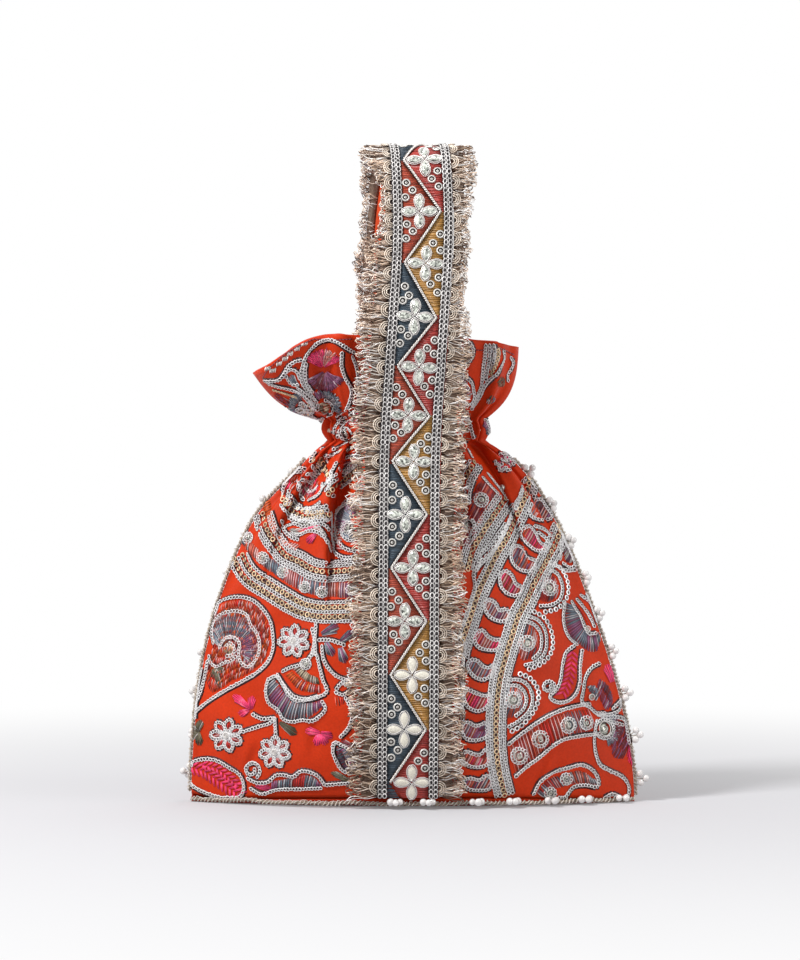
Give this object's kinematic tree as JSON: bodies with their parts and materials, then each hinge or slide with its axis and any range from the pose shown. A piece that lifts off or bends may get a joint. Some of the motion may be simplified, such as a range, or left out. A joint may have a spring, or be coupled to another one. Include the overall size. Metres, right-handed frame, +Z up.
{
  "type": "potli bag",
  "caption": "Gathered potli bag of embroidered vermilion silk with a ruffled mouth, beaded seams and a fringed strap that loops over the top.",
  "frame": {"origin": "on the surface it stands on, under the middle of the base", "axes": "+Z up, the front of the bag faces -Y, +X to the right of the front"},
  "size_m": [0.2328, 0.1012, 0.3291],
  "materials": {
    "vermilion_silk": "satin",
    "orange_lining": "satin",
    "crimson_weave": "matte",
    "silver_lace": "satin",
    "gold_fringe": "satin",
    "cream_cord": "matte",
    "pearl": "gloss",
    "mirror_petal": "polished"
  },
  "bodies": {
    "root": {"front_panel": "vermilion_silk", "back_panel": "vermilion_silk", "lining_bag": "orange_lining", "neck_cord": "cream_cord", "beaded_edging": "pearl", "strap_lining": "vermilion_silk", "strap_band": "crimson_weave", "lace_left": "silver_lace", "lace_right": "silver_lace", "fringe_left": "gold_fringe", "fringe_right": "gold_fringe", "zigzag_braid": "silver_lace", "mirror_flower_01": "mirror_petal", "mirror_flower_02": "mirror_petal", "mirror_flower_03": "mirror_petal", "mirror_flower_04": "mirror_petal", "mirror_flower_05": "mirror_petal", "mirror_flower_06": "mirror_petal", "mirror_flower_07": "mirror_petal", "mirror_flower_08": "mirror_petal", "mirror_flower_09": "mirror_petal", "mirror_flower_10": "mirror_petal", "mirror_flower_11": "mirror_petal", "mirror_flower_12": "mirror_petal", "mirror_flower_13": "mirror_petal", "mirror_flower_14": "mirror_petal", "mirror_flower_15": "mirror_petal", "mirror_flower_16": "mirror_petal", "mirror_flower_17": "mirror_petal", "mirror_flower_18": "mirror_petal", "mirror_flower_19": "mirror_petal", "mirror_flower_20": "mirror_petal", "mirror_flower_21": "mirror_petal", "mirror_flower_22": "mirror_petal", "mirror_flower_23": "mirror_petal", "mirror_flower_24": "mirror_petal", "mirror_flower_25": "mirror_petal", "mirror_flower_26": "mirror_petal"}
  },
  "joints": []
}
